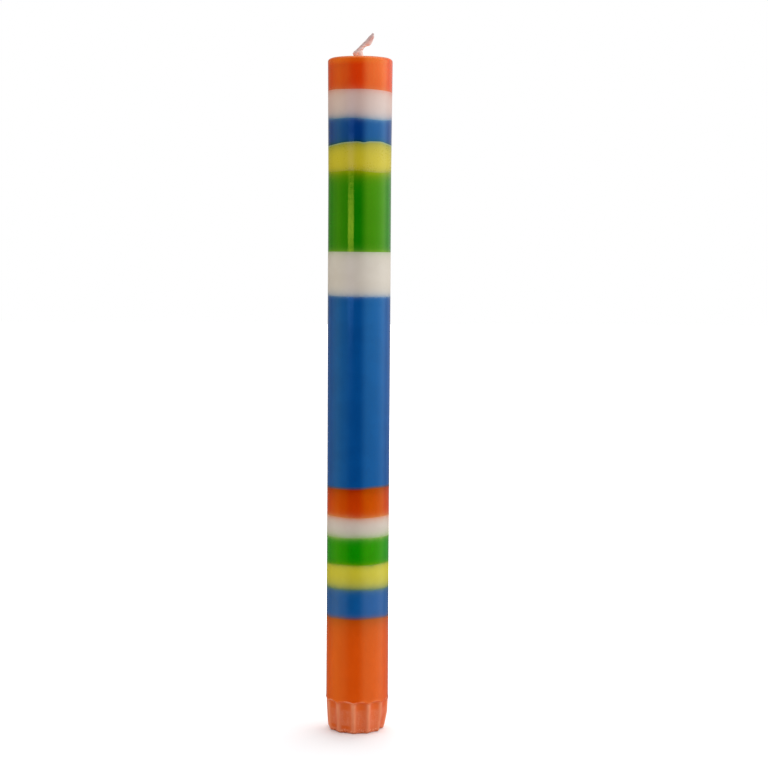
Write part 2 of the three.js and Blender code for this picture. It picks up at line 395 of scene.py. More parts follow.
def poured_wax_group():
    """The skin of poured wax: clouded dye, dye that bleeds over the seams, a fine line where
    two pours meet, shallow dents, and the faint rings that the mould leaves. At the bleed's
    distance from a seam a third of its stain is left."""
    group = bpy.data.node_groups.new("Poured wax", "ShaderNodeTree")
    for name, kind, start in (
        ("Dye", "Color", WHITE),
        ("Cloud", "Color", WHITE),
        ("Dye below", "Color", WHITE),
        ("Dye above", "Color", WHITE),
        ("Bleed below", "Float", 0.001),
        ("Bleed above", "Float", 0.001),
        ("Stain below", "Float", 0.0),
        ("Stain above", "Float", 0.0),
        ("Line colour", "Color", WHITE),
        ("Line below", "Float", 0.0),
        ("Line above", "Float", 0.0),
        ("Polish", "Float", 0.1),
    ):
        socket = group.interface.new_socket(
            name=name, in_out="INPUT", socket_type="NodeSocket" + kind
        )
        socket.default_value = start
    for name, kind in (("Color", "Color"), ("Roughness", "Float"), ("Height", "Float")):
        group.interface.new_socket(name=name, in_out="OUTPUT", socket_type="NodeSocket" + kind)
    given = group.nodes.new("NodeGroupInput").outputs
    place = node(group, "TexCoord").outputs["Object"]
    over = node(group, "Attribute", attribute_name="over_seam").outputs["Fac"]
    under = node(group, "Attribute", attribute_name="under_seam").outputs["Fac"]
    clouds = speckle(group, place, CLOUD_SPOTS, detail=3)
    grain = speckle(group, place, GRAIN_SPOTS)
    rings = speckle(group, place, RING_SPOTS, stretch=RING_STRETCH)
    dents = speckle(group, place, DENT_SPOTS, detail=1)
    uneven = speckle(group, place, FRINGE_SPOTS, detail=3)
    fringe = calculate(group, "MULTIPLY_ADD", uneven, FRINGE_WIDTH, -FRINGE_WIDTH / 2)

    colour = mix(group, fade(group, clouds, *CLOUD_EDGES), given["Dye"], given["Cloud"])
    for side, distance in (("below", over), ("above", under)):
        from_seam = calculate(group, "ADD", distance, fringe)
        from_seam = calculate(group, "MAXIMUM", from_seam, 0.0)
        from_seam = calculate(group, "DIVIDE", from_seam, given["Bleed " + side])
        bleed = calculate(group, "POWER", STAIN_LEFT, from_seam)
        stain = calculate(group, "MULTIPLY", bleed, given["Stain " + side])
        colour = mix(group, stain, colour, given["Dye " + side])
        line = fade(group, distance, 0.0, SEAM_LINE_WIDTH)
        line = calculate(group, "MULTIPLY", line, given["Line " + side])
        colour = mix(group, line, colour, given["Line colour"])

    roughness = calculate(group, "MULTIPLY_ADD", grain, GRAIN_ROUGHNESS, given["Polish"])
    roughness = calculate(group, "MULTIPLY_ADD", clouds, CLOUD_ROUGHNESS, roughness)

    height = calculate(group, "MULTIPLY", dents, DENT_DEPTH)
    height = calculate(group, "MULTIPLY_ADD", rings, RING_DEPTH, height)
    height = calculate(group, "MULTIPLY_ADD", grain, GRAIN_DEPTH, height)
    result = group.nodes.new("NodeGroupOutput")
    for name, output in (("Color", colour), ("Roughness", roughness), ("Height", height)):
        group.links.new(output, result.inputs[name])
    return group


poured_wax = poured_wax_group()


def shade(red, green, blue):
    """A colour from its 0 to 255 levels on a screen, as the light levels that nodes use."""
    levels = (red / 255, green / 255, blue / 255)
    return (*(v / 12.92 if v <= 0.04045 else ((v + 0.055) / 1.055) ** 2.4 for v in levels), 1)


def start_wax(name, values):
    """Starts a wax material. The values go to the inputs of the poured wax group; a keyword
    such as stain_below stands for the input Stain below."""
    material = bpy.data.materials.new(name)
    material.use_nodes = True
    tree = material.node_tree
    tree.nodes.clear()
    skin = tree.nodes.new("ShaderNodeGroup")
    skin.node_tree = poured_wax
    for key, value in values.items():
        skin.inputs[key[0].upper() + key[1:].replace("_", " ")].default_value = value
    return material, tree, skin.outputs


WAX_GLOSS = 1.5
WAX_SHINE = 0.9


def finish_wax(tree, sheen, colour, roughness, height, gloss=WAX_GLOSS):
    """Gives a wax material its shader. Wax shines faintly in its own colour, and the more the
    higher its index of refraction, its gloss, is."""
    bump = node(tree, "Bump", {"Height": height, "Distance": 1.0, "Strength": 1.0})
    shader = node(tree, "BsdfPrincipled", {
        "Base Color": colour, "Roughness": roughness, "Normal": bump.outputs[0],
        "IOR": gloss, "Specular IOR Level": WAX_SHINE, "Specular Tint": sheen,
    })
    node(tree, "OutputMaterial", {"Surface": shader.outputs[0]})


def wax(name, sheen, gloss=WAX_GLOSS, **values):
    """A wax material that is the same all round its band."""
    material, tree, skin = start_wax(name, values)
    finish_wax(tree, sheen, skin["Color"], skin["Roughness"], skin["Height"], gloss)
    return material


# The ridge's half width is a share of a flute. A pair called rows gives the heights between
# which a change sets in, and one called radii the distances from the axis.
FLUTE_TOP = 0.0112
FLUTE_TOP_FADE = 0.0003
FLUTE_DEPTH = 0.0008
FLUTED_RADII = (0.008, 0.010)
HOLLOW_ROUNDNESS = 0.7
RIDGE_HALF_WIDTH = 0.06
LEDGE_ARCH = 0.00060
ARCH_START_ROWS = (0.0096, 0.0108)
ARCH_END_ROWS = (0.0136, 0.0120)
LIP_START_ROWS = (0.0112, 0.0115)
LIP_END_ROWS = (0.0120, 0.0117)
CRUMB_DEPTH = 0.00022
CRUMBS_TO_THE_METRE = 900
CRUMB_ROWS = (0.0014, 0.0008)
WORN_CORNER = {"bearing": 72, "half_width": 32, "depth": 0.00085, "rows": (0.0065, 0.0008)}
RIDGE_BEARINGS = (-98, -70, -39.5, -6.5, 22.5, 51.7, 84, 113, 144, 173, 203, 233)
FOOT_PROFILE = (
    (BORE_RADIUS, 0.0),
    (0.0060, 0.0),
    (0.01015, 0.0),
    (0.01056, 0.0002),
    (0.01078, 0.0006),
    (0.01092, 0.0011),
    (0.01103, 0.0018),
    (0.01111, 0.0026),
    (0.01117, 0.0034),
    (0.01124, 0.0042),
    (0.01129, 0.0050),
    (0.01133, 0.0057),
    (0.01138, 0.0065),
    (0.01143, 0.0073),
    (0.01147, 0.0081),
    (0.01151, 0.0089),
    (0.01154, 0.0097),
    (0.01156, 0.0104),
    (0.01158, 0.0110),
    (0.01166, 0.0113),
    (0.01174, 0.0115),
    (0.01175, 0.0117),
    (0.01171, 0.0120),
    (0.01167, 0.0124),
    (0.01165, 0.0132),
)


def hollow_share(bearing):
    """How deep a flute lies at a bearing: 0 on a ridge, 1 in the middle of a hollow."""
    for start, end in zip(RIDGE_BEARINGS, (*RIDGE_BEARINGS[1:], RIDGE_BEARINGS[0] + 360)):
        share = ((bearing - start) % 360) / (end - start)
        if share < 1:
            across = (share - RIDGE_HALF_WIDTH) / (1 - 2 * RIDGE_HALF_WIDTH)
            return math.sin(math.pi * min(max(across, 0), 1)) ** HOLLOW_ROUNDNESS


def within(value, start, end):
    """How far a value has come from the start to the end, from 0 to 1."""
    return min(max((value - start) / (end - start), 0), 1)


FOOT_LINE_WAVES = ((-60, 14, -0.0004), (-18, 20, 0.00015))
FOOT_LINE_LIFT = 0.0002

foot_line = PourLine("foot_band_orange", FOOT_LINE_WAVES, FOOT_LINE_LIFT)
foot_band = turned("foot_band", [
    *FOOT_PROFILE,
    (foot_line.radius, foot_line.level),
    (BORE_RADIUS, foot_line.level),
])
pressed, hollows, lips = [], [], []
for vertex in foot_band.data.vertices:
    x, y, z = vertex.co
    radius = math.hypot(x, y)
    bearing = math.degrees(math.atan2(x, -y))
    hollow = hollow_share(bearing)
    below_ledge = within(z, FLUTE_TOP + FLUTE_TOP_FADE, FLUTE_TOP - FLUTE_TOP_FADE)
    crumbs = noise.noise(vertex.co * CRUMBS_TO_THE_METRE) * CRUMB_DEPTH * within(z, *CRUMB_ROWS)
    off_corner = (bearing - WORN_CORNER["bearing"]) / WORN_CORNER["half_width"]
    worn = WORN_CORNER["depth"] * math.exp(-off_corner ** 2) * within(z, *WORN_CORNER["rows"])
    shrink = (FLUTE_DEPTH * hollow * below_ledge + crumbs + worn) * within(radius, *FLUTED_RADII)
    vertex.co.x -= x / radius * shrink
    vertex.co.y -= y / radius * shrink
    arch = within(z, *ARCH_START_ROWS) * within(z, *ARCH_END_ROWS)
    vertex.co.z += LEDGE_ARCH * hollow * arch
    pressed.append(below_ledge)
    hollows.append(hollow)
    lips.append(within(z, *LIP_START_ROWS) * within(z, *LIP_END_ROWS))
mark(foot_band, "pressed", pressed)
mark(foot_band, "hollow", hollows)
mark(foot_band, "lip", lips)
settle(foot_band, None, foot_line)

FOOT_SHEEN = (1.0, 0.95, 0.34, 1)
HOLLOW_DYE = shade(230, 102, 66)
# Pale orange for chips and frost specks, for paler wax on the ridges that is partly a painted
# highlight, and for a painted highlight along the lip.
RUBBED_DYE_AND_HIGHLIGHT = shade(250, 148, 110)
# Deep orange for random patches in the hollows, and painted shade in the hollows under the ledge and
# near the bottom.
DEEP_DYE_AND_PAINTED_SHADE = shade(230, 80, 0)
# Painted shade along the bottom edge, where the foot meets the floor.
PAINTED_SHADE_AT_BOTTOM = shade(150, 34, 4)
FOOT_SEAM_DYE = shade(113, 77, 90)
BLOTCH_SPOTS = 500
BLOTCH_STRETCH = (1, 1, 0.4)
BLOTCH_DEPTH = 0.00004
CHIP_SPOTS = 1500
FROST_SPOTS = 2600
HOLLOW_SHARE = 0.9
HOLLOW_ROUGHNESS = 0.3
BOTTOM_SHADE_SHARE = 0.45

# How each mark fades: from the first value of noise, height or place to the second, and its
# strength at both.
CHIPS = (0.54, 0.62, 0.0, 1.0)
CHIPS_ABOVE_THE_EDGE = (0.0012, 0.0022, 1.0, 0.0)
FROST = (0.42, 0.66, 0.0, 0.26)
PATCHES = (0.42, 0.62, 0.0, 0.5)
# Painted shade in the hollows: under the ledge, and in a band near the bottom that is heavier on the
# -X side.
PAINTED_SHADE_UNDER_LEDGE = (0.0080, 0.0096, 0.0, 1.0)
PAINTED_SHADE_AT_FOOT_FROM = (0.0012, 0.0020, 0.0, 1.0)
PAINTED_SHADE_AT_FOOT_TO = (0.0026, 0.0034, 1.0, 0.0)
PAINTED_SHADE_AT_FOOT_ACROSS = (-0.0038, 0.0010, 1.0, 0.35)
# Paler wax along the ridges, partly a painted highlight that the ridges would catch.
PALE_RIDGE_AND_HIGHLIGHT = (0.0, 0.75, 1.0, 0.0)
RIDGE_BLOTCHES = (0.30, 0.65, 0.9, 0.5)
# A painted highlight along the lip, brighter on the -X side.
LIP_BLOTCHES = (0.35, 0.60, 1.0, 0.3)
LIP_HIGHLIGHT_ACROSS = (-0.0020, 0.0050, 1.0, 0.45)
# Painted shade along the bottom edge.
PAINTED_SHADE_ALONG_BOTTOM = (0.0003, 0.0010, 1.0, 0.0)

foot_orange, tree, skin = start_wax("foot orange wax", {
    "dye": shade(236, 85, 0), "cloud": shade(232, 82, 0),
    "dye_above": shade(175, 69, 0), "bleed_above": 0.0036, "stain_above": 1.0,
    "line_colour": FOOT_SEAM_DYE, "line_above": 1.0,
})
pressed = node(tree, "Attribute", attribute_name="pressed").outputs["Fac"]
hollow = node(tree, "Attribute", attribute_name="hollow").outputs["Fac"]
lip = node(tree, "Attribute", attribute_name="lip").outputs["Fac"]
place = node(tree, "TexCoord").outputs["Object"]
axes = node(tree, "SeparateXYZ", {0: place}).outputs
up = axes["Z"]
blotches = speckle(tree, place, BLOTCH_SPOTS, 3, stretch=BLOTCH_STRETCH)
chips = fade(tree, speckle(tree, place, CHIP_SPOTS, 1), *CHIPS)
frost = fade(tree, speckle(tree, place, FROST_SPOTS, 2), *FROST)

colour = mix(tree, calculate(tree, "MULTIPLY", pressed, HOLLOW_SHARE), skin["Color"], HOLLOW_DYE)
patchy = fade(tree, blotches, *PATCHES)
# Painted shade in the hollows under the ledge and near the bottom, heavier on the -X side, joined by
# random deep patches.
painted_shade_under_ledge = fade(tree, up, *PAINTED_SHADE_UNDER_LEDGE)
painted_shade_at_foot = fade(tree, up, *PAINTED_SHADE_AT_FOOT_TO)
painted_shade_at_foot = calculate(tree, "MULTIPLY", painted_shade_at_foot, fade(tree, up, *PAINTED_SHADE_AT_FOOT_FROM))
painted_shade_at_foot = calculate(tree, "MULTIPLY", painted_shade_at_foot, fade(tree, axes["X"], *PAINTED_SHADE_AT_FOOT_ACROSS))
deep = calculate(tree, "MAXIMUM", calculate(tree, "MAXIMUM", painted_shade_under_ledge, painted_shade_at_foot), patchy)
deep = calculate(tree, "MULTIPLY", deep, pressed)
colour = mix(tree, calculate(tree, "MULTIPLY", deep, hollow), colour, DEEP_DYE_AND_PAINTED_SHADE)
# Paler ridges, partly a painted highlight, broken up by blotches.
rubbed_and_highlight = calculate(tree, "MULTIPLY", fade(tree, hollow, *PALE_RIDGE_AND_HIGHLIGHT), pressed)
rubbed_and_highlight = calculate(tree, "MULTIPLY", rubbed_and_highlight, fade(tree, blotches, *RIDGE_BLOTCHES))
frost = calculate(tree, "MULTIPLY", frost, calculate(tree, "SUBTRACT", pressed, deep))
rubbed_and_highlight = calculate(tree, "MAXIMUM", rubbed_and_highlight, frost)
# Painted highlight along the lip, brighter towards -X.
lip = calculate(tree, "MULTIPLY", lip, fade(tree, blotches, *LIP_BLOTCHES))
lip = calculate(tree, "MULTIPLY", lip, fade(tree, axes["X"], *LIP_HIGHLIGHT_ACROSS))
colour = mix(tree, calculate(tree, "MAXIMUM", rubbed_and_highlight, lip), colour, RUBBED_DYE_AND_HIGHLIGHT)
# Painted shade, darker towards the bottom edge.
bottom_shade = calculate(tree, "MULTIPLY", fade(tree, up, *PAINTED_SHADE_ALONG_BOTTOM), BOTTOM_SHADE_SHARE)
colour = mix(tree, bottom_shade, colour, PAINTED_SHADE_AT_BOTTOM)
chips = calculate(tree, "MULTIPLY", fade(tree, up, *CHIPS_ABOVE_THE_EDGE), chips)
colour = mix(tree, chips, colour, RUBBED_DYE_AND_HIGHLIGHT)
roughness = calculate(tree, "MULTIPLY_ADD", pressed, HOLLOW_ROUGHNESS, skin["Roughness"])
height = calculate(tree, "MULTIPLY", blotches, pressed)
height = calculate(tree, "MULTIPLY_ADD", height, BLOTCH_DEPTH, skin["Height"])
finish_wax(tree, FOOT_SHEEN, colour, roughness, height)
put_in_frame(foot_band, "foot_band_orange", foot_orange)


# Lower bands. Five short pours over the foot: blue, yellow, green, white and orange. Each
# began before the one under it was quite cold, so their dyes have run together at the seams.


def band_of_wax(name, below, above):
    """A plain band of wax round the wick, between two pour lines."""
    piece = turned(name, [
        (BORE_RADIUS, below.level),
        (below.radius, below.level),
        (above.radius, above.level),
        (BORE_RADIUS, above.level),
    ])
    settle(piece, below, above)
    return piece


LOWER_BLUE_SHEEN = (0.46, 0.60, 0.92, 1)
BLUE_GLOSS = 1.6
LOWER_BLUE_WAVES = ((-45, 25, 0.0001), (35, 25, -0.0002))
LOWER_BLUE_SEAM_DYE = shade(96, 129, 91)

lower_blue_line = PourLine("lower_band_blue", LOWER_BLUE_WAVES)
lower_blue = band_of_wax("lower_blue", foot_line, lower_blue_line)
put_in_frame(lower_blue, "lower_band_blue", wax(
    "lower blue wax", LOWER_BLUE_SHEEN, BLUE_GLOSS,
    dye=shade(0, 90, 160), cloud=shade(0, 86, 154),
    dye_below=FOOT_SEAM_DYE, bleed_below=0.0006, stain_below=1.0,
    dye_above=LOWER_BLUE_SEAM_DYE, bleed_above=0.0008, stain_above=1.0,
))

LOWER_YELLOW_SHEEN = (1.0, 1.0, 0.90, 1)

lower_yellow_line = PourLine("lower_band_yellow")
lower_yellow = band_of_wax("lower_yellow", lower_blue_line, lower_yellow_line)
put_in_frame(lower_yellow, "lower_band_yellow", wax(
    "lower yellow wax", LOWER_YELLOW_SHEEN, polish=0.18,
    dye=shade(219, 208, 40), cloud=shade(217, 204, 33),
    dye_below=LOWER_BLUE_SEAM_DYE, bleed_below=0.0019, stain_below=1.0,
    dye_above=shade(113, 155, 10), bleed_above=0.0009, stain_above=1.0,
))

GREEN_SHEEN = (0.6, 1.0, 0.05, 1)
LOWER_GREEN_WAVES = ((2, 25, 0.0002),)
LOWER_GREEN_LIFT = 0.0001
LOWER_GREEN_SEAM_DYE = shade(146, 181, 97)

lower_green_line = PourLine("lower_band_green", LOWER_GREEN_WAVES, LOWER_GREEN_LIFT)
lower_green = band_of_wax("lower_green", lower_yellow_line, lower_green_line)
put_in_frame(lower_green, "lower_band_green", wax(
    "lower green wax", GREEN_SHEEN,
    dye=shade(0, 151, 0), cloud=shade(0, 146, 0),
    dye_below=shade(113, 161, 0), bleed_below=0.0006, stain_below=1.0,
    dye_above=LOWER_GREEN_SEAM_DYE, bleed_above=0.0007, stain_above=1.0,
))

WHITE_SHEEN = (0.8, 0.95, 1.0, 1)
WHITE_POLISH = 0.32
LOWER_WHITE_LIFT = -0.0001
LOWER_WHITE_SEAM_DYE = shade(223, 134, 85)

lower_white_line = PourLine("lower_band_white", lift=LOWER_WHITE_LIFT)
lower_white = band_of_wax("lower_white", lower_green_line, lower_white_line)
put_in_frame(lower_white, "lower_band_white", wax(
    "lower white wax", WHITE_SHEEN, polish=WHITE_POLISH,
    dye=shade(224, 211, 198), cloud=shade(221, 206, 193),
    dye_below=LOWER_GREEN_SEAM_DYE, bleed_below=0.0015, stain_below=1.0,
    dye_above=LOWER_WHITE_SEAM_DYE, bleed_above=0.0014, stain_above=1.0,
))

LOWER_ORANGE_SHEEN = (1.0, 0.85, 0.02, 1)
LOWER_ORANGE_WAVES = ((27, 20, 0.0003),)
LOWER_ORANGE_LIFT = 0.0001
LOWER_ORANGE_SEAM_DYE = shade(76, 66, 100)

lower_orange_line = PourLine("lower_band_orange", LOWER_ORANGE_WAVES, LOWER_ORANGE_LIFT)
lower_orange = band_of_wax("lower_orange", lower_white_line, lower_orange_line)
put_in_frame(lower_orange, "lower_band_orange", wax(
    "lower orange wax", LOWER_ORANGE_SHEEN,
    dye=shade(219, 63, 0), cloud=shade(214, 57, 0),
    dye_below=LOWER_WHITE_SEAM_DYE, bleed_below=0.0008, stain_below=1.0,
    dye_above=shade(150, 20, 0), bleed_above=0.0024, stain_above=1.0,
    line_colour=LOWER_ORANGE_SEAM_DYE, line_above=0.9,
))


# Middle bands. The longest pour, 71 mm of blue, and a white one over it.

BLUE_SHEEN = (0.15, 0.60, 1.0, 1)
MIDDLE_BLUE_LIFT = 0.0001
MIDDLE_BLUE_SEAM_DYE = shade(128, 149, 175)

middle_blue_line = PourLine("middle_band_blue", lift=MIDDLE_BLUE_LIFT)
middle_blue = band_of_wax("middle_blue", lower_orange_line, middle_blue_line)
put_in_frame(middle_blue, "middle_band_blue", wax(
    "middle blue wax", BLUE_SHEEN, BLUE_GLOSS,
    dye=shade(0, 81, 157), cloud=shade(0, 77, 151),
    line_colour=LOWER_ORANGE_SEAM_DYE, line_below=0.9,
    dye_above=MIDDLE_BLUE_SEAM_DYE, bleed_above=0.0004, stain_above=1.0,
))

MIDDLE_WHITE_GLOSS = 1.56
MIDDLE_WHITE_SEAM_DYE = shade(116, 163, 52)

middle_white_line = PourLine("middle_band_white")
middle_white = band_of_wax("middle_white", middle_blue_line, middle_white_line)
put_in_frame(middle_white, "middle_band_white", wax(
    "middle white wax", WHITE_SHEEN, MIDDLE_WHITE_GLOSS, polish=WHITE_POLISH,
    dye=shade(226, 215, 199), cloud=shade(222, 210, 193),
    dye_below=MIDDLE_BLUE_SEAM_DYE, bleed_below=0.0013, stain_below=1.0,
    dye_above=MIDDLE_WHITE_SEAM_DYE, bleed_above=0.0012, stain_above=0.45,
))


# Upper bands. Green, yellow, blue and white. The green ran softly into the yellow. The yellow
# was nearly cold when the blue came, so that seam is sharp and a little wavy.

UPPER_GREEN_WAVES = ((30, 45, -0.00032),)
UPPER_GREEN_SEAM_DYE = shade(153, 160, 0)

upper_green_line = PourLine("upper_band_green", UPPER_GREEN_WAVES)
upper_green = band_of_wax("upper_green", middle_white_line, upper_green_line)
put_in_frame(upper_green, "upper_band_green", wax(
    "upper green wax", GREEN_SHEEN, polish=0.05,
    dye=shade(8, 129, 0), cloud=shade(14, 132, 0),
    dye_below=MIDDLE_WHITE_SEAM_DYE, bleed_below=0.0009, stain_below=0.85,
    dye_above=UPPER_GREEN_SEAM_DYE, bleed_above=0.0016, stain_above=1.0,
))

UPPER_YELLOW_SHEEN = (1.0, 1.0, 0.70, 1)
UPPER_YELLOW_WAVES = ((-31, 14, 0.00013), (7, 7, -0.00040), (41, 11, 0.00027))
UPPER_YELLOW_LIFT = -0.00065

upper_yellow_line = PourLine("upper_band_yellow", UPPER_YELLOW_WAVES, UPPER_YELLOW_LIFT)
upper_yellow = band_of_wax("upper_yellow", upper_green_line, upper_yellow_line)
put_in_frame(upper_yellow, "upper_band_yellow", wax(
    "upper yellow wax", UPPER_YELLOW_SHEEN, polish=0.22,
    dye=shade(217, 199, 6), cloud=shade(215, 196, 2),
    dye_below=UPPER_GREEN_SEAM_DYE, bleed_below=0.0013, stain_below=1.0,
    dye_above=shade(129, 142, 42), bleed_above=0.0021, stain_above=1.0,
    line_colour=shade(158, 182, 150), line_above=0.6,
))

UPPER_BLUE_WAVES = ((-15, 25, 0.00045), (45, 25, -0.00034))
UPPER_BLUE_SEAM_DYE = shade(89, 119, 158)

upper_blue_line = PourLine("upper_band_blue", UPPER_BLUE_WAVES)
upper_blue = band_of_wax("upper_blue", upper_yellow_line, upper_blue_line)
put_in_frame(upper_blue, "upper_band_blue", wax(
    "upper blue wax", BLUE_SHEEN, BLUE_GLOSS, polish=0.06,
    dye=shade(0, 60, 138), cloud=shade(0, 56, 133),
    dye_below=shade(10, 60, 50), bleed_below=0.0008, stain_below=1.0,
    dye_above=UPPER_BLUE_SEAM_DYE, bleed_above=0.0006, stain_above=1.0,
))

UPPER_WHITE_SHEEN = (0.6, 1.0, 1.0, 1)
UPPER_WHITE_GLOSS = 1.74
UPPER_WHITE_WAVES = ((-22, 25, -0.0002),)
UPPER_WHITE_LIFT = -0.00060

upper_white_line = PourLine("upper_band_white", UPPER_WHITE_WAVES, UPPER_WHITE_LIFT)
upper_white = band_of_wax("upper_white", upper_blue_line, upper_white_line)
put_in_frame(upper_white, "upper_band_white", wax(
    "upper white wax", UPPER_WHITE_SHEEN, UPPER_WHITE_GLOSS, polish=WHITE_POLISH,
    dye=shade(232, 196, 184), cloud=shade(229, 192, 179),
    dye_below=UPPER_BLUE_SEAM_DYE, bleed_below=0.0017, stain_below=1.0,
    dye_above=shade(232, 96, 36), bleed_above=0.0016, stain_above=0.6,
))


# Tip band. The last pour of orange wax. Its rim is rounded, and it creeps a little way up the
# wick, where it is thin and pale.

CANDLE_TOP = 0.2505
TIP_RADIUS = 0.01195
RIM_WIDTH = 0.0020
RIM_HEIGHT = 0.0012
RIM_STEPS = 10
CREEP_PROFILE = (
    (0.0080, 0.25050),
    (0.0055, 0.25050),
    (0.0037, 0.25053),
    (0.0028, 0.25060),
    (0.0022, 0.25073),
    (0.0018, 0.25080),
    (0.0015, 0.25080),
    (BORE_RADIUS, 0.24900),
)

rim = []
for step in range(RIM_STEPS + 1):
    turn = step / RIM_STEPS * math.pi / 2
    rim.append((
        TIP_RADIUS - RIM_WIDTH * (1 - math.cos(turn)),
        CANDLE_TOP - RIM_HEIGHT * (1 - math.sin(turn)),
    ))
tip_band = turned("tip_band", [
    (BORE_RADIUS, upper_white_line.level),
    (upper_white_line.radius, upper_white_line.level),
    *rim,
    *CREEP_PROFILE,
])
settle(tip_band, upper_white_line, None)

TIP_SHEEN = (1.0, 0.90, 0.25, 1)
# Paler wax on the rounded rim, which also stands in for the highlight the rim catches.
RIM_WEAR_AND_HIGHLIGHT_DYE = shade(212, 116, 70)
# Painted glow: brighter orange just under the rim, strongest on the -X half, standing in for light
# from above shining through the wax.
PAINTED_GLOW_DYE = shade(250, 95, 5)
# Painted shade: the -X side of the tip is darkened.
PAINTED_SHADE_SHARE = (0.88, 0.97, 1.0, 1)
PAINTED_SHADE_SIDE = (-0.0060, -0.0010, 1.0, 0.0)
PAINTED_GLOW_UP_THE_TIP = (CANDLE_TOP - 0.0034, CANDLE_TOP - RIM_HEIGHT, 0.0, 0.9)
PAINTED_GLOW_ACROSS = (0.0, 0.0080, 1.0, 0.35)
RIM_WEAR_AND_HIGHLIGHT = (CANDLE_TOP - RIM_HEIGHT, CANDLE_TOP, 0.0, 0.9)
RUBBED_ROUGHNESS = 0.3

tip_orange, tree, skin = start_wax("tip orange wax", {
    "dye": shade(246, 64, 0), "cloud": shade(240, 57, 0),
    "dye_below": shade(224, 120, 84), "bleed_below": 0.0008, "stain_below": 0.60,
})
axes = node(tree, "SeparateXYZ", {0: node(tree, "TexCoord").outputs["Object"]}).outputs
up = axes["Z"]
# Painted shade on the -X side of the tip.
painted_shade_side = fade(tree, axes["X"], *PAINTED_SHADE_SIDE)
colour = mix(tree, painted_shade_side, skin["Color"], PAINTED_SHADE_SHARE, blend="MULTIPLY")
# Painted glow under the rim.
painted_glow_near_rim = fade(tree, up, *PAINTED_GLOW_UP_THE_TIP)
painted_glow_near_rim = calculate(tree, "MULTIPLY", painted_glow_near_rim, fade(tree, axes["X"], *PAINTED_GLOW_ACROSS))
colour = mix(tree, painted_glow_near_rim, colour, PAINTED_GLOW_DYE)
# Paler, rougher rim: partly wear, partly a painted highlight.
rim_wear_and_highlight = fade(tree, up, *RIM_WEAR_AND_HIGHLIGHT)
colour = mix(tree, rim_wear_and_highlight, colour, RIM_WEAR_AND_HIGHLIGHT_DYE)
roughness = calculate(tree, "MULTIPLY_ADD", rim_wear_and_highlight, RUBBED_ROUGHNESS, skin["Roughness"])
finish_wax(tree, TIP_SHEEN, colour, roughness, skin["Height"])
put_in_frame(tip_band, "tip_band_orange", tip_orange)


# Wick. Three cotton strands in one plait, soaked stiff with wax, from the foot to the free end.
# It leans to -X where it leaves the candle, in a small cone of wax, and kinks over to +X. Its
# end was cut on the slant and has frayed, so that the strands end one below the other.

WICK_START = 0.0005
WICK_MOUTH = 0.2492
STRAND_STEP = 0.0003
STRAND_RADIUS = 0.00042
PLAIT_HALF_WIDTH = 0.00055
PLAIT_LENGTH = 0.0048
PLAIT_SWING = 1.05
FRAY_THINNING = 0.3
BODY_FLATNESS = 0.96

# The wick's course: each length along it, and the turn from upright over that length.
WICK_COURSE = (
    (0.2490, 0),
    (0.0004, -35),
    (0.0029, 0),
    (0.0003, 80),
    (0.0100, 0),
)

# The wax round the strands: distance along the wick, sideways shift and half thickness.
WICK_BODY = (
    (0.0000, 0.0, 0.00072),
    (0.2500, 0.0, 0.00078),
    (0.2517, 0.0, 0.00084),
    (0.2524, 0.0, 0.00104),
    (0.2532, -0.00010, 0.00095),
    (0.2548, -0.00010, 0.00095),
    (0.2564, 0.00002, 0.00083),
    (0.2573, -0.00007, 0.00091),
    (0.2579, -0.00024, 0.00110),
    (0.2585, -0.00042, 0.00126),
    (0.2589, -0.00038, 0.00120),
    (0.2602, -0.00010, 0.00106),
    (0.2612, 0.00015, 0.00086),
    (0.2619, 0.00055, 0.00042),
    (0.2626, 0.00085, 0.00016),
)
STRAND_ENDS = (
    {"short_by": 0.0000, "fray": 0.0025, "spread": 0.00042},
    {"short_by": 0.0012, "fray": 0.0025, "spread": -0.00050},
    {"short_by": 0.0037, "fray": 0.0018, "spread": -0.00100},
)
MOUTH_CONE = {"base": 0.2500, "tall": 0.0032, "radius": 0.00140, "tip": 0.00085}
CONE_SIDES = 32
WICK_VOXEL = 0.00009


def walk_wick():
    """Steps along the wick: x, z, slope from upright, sideways shift and half thickness."""
    x, z, lean = 0.0, WICK_START, 0.0
    distance = 0.0
    walk = []
    for length, turn in WICK_COURSE:
        steps = max(1, round(length / STRAND_STEP))
        for _ in range(steps):
            for (start, *first), (end, *last) in zip(WICK_BODY, WICK_BODY[1:]):
                if start <= distance <= end:
                    share = (distance - start) / (end - start)
                    shift, thick = (a + (b - a) * share for a, b in zip(first, last))
            walk.append((x, z, lean, shift, thick))
            lean += math.radians(turn) / steps
            x += math.sin(lean) * length / steps
            z += math.cos(lean) * length / steps
            distance += length / steps
    return walk


wick_walk = walk_wick()


def cord_along(points, flatness=1.0):
    """A closed round cord through points, each (x, y, z, radius). Flatness narrows it in y."""
    curve = bpy.data.curves.new("cord", "CURVE")
    curve.dimensions = "3D"
    curve.bevel_depth = 1.0
    curve.bevel_resolution = 3
    curve.use_fill_caps = True
    spline = curve.splines.new("POLY")
    spline.points.add(len(points) - 1)
    for point, (x, y, z, radius) in zip(spline.points, points):
        point.co = (x, y, z, 1)
        point.radius = radius
    cord = bpy.data.objects.new("cord", curve)
    scene.collection.objects.link(cord)
    bpy.ops.object.select_all(action="DESELECT")
    cord.select_set(True)
    bpy.context.view_layer.objects.active = cord
    bpy.ops.object.convert(target="MESH")
    bpy.ops.object.mode_set(mode="EDIT")
    bpy.ops.mesh.select_all(action="SELECT")
    bpy.ops.transform.resize(value=(1, flatness, 1), center_override=(0, 0, 0))
    bpy.ops.object.mode_set(mode="OBJECT")
    return bpy.context.object


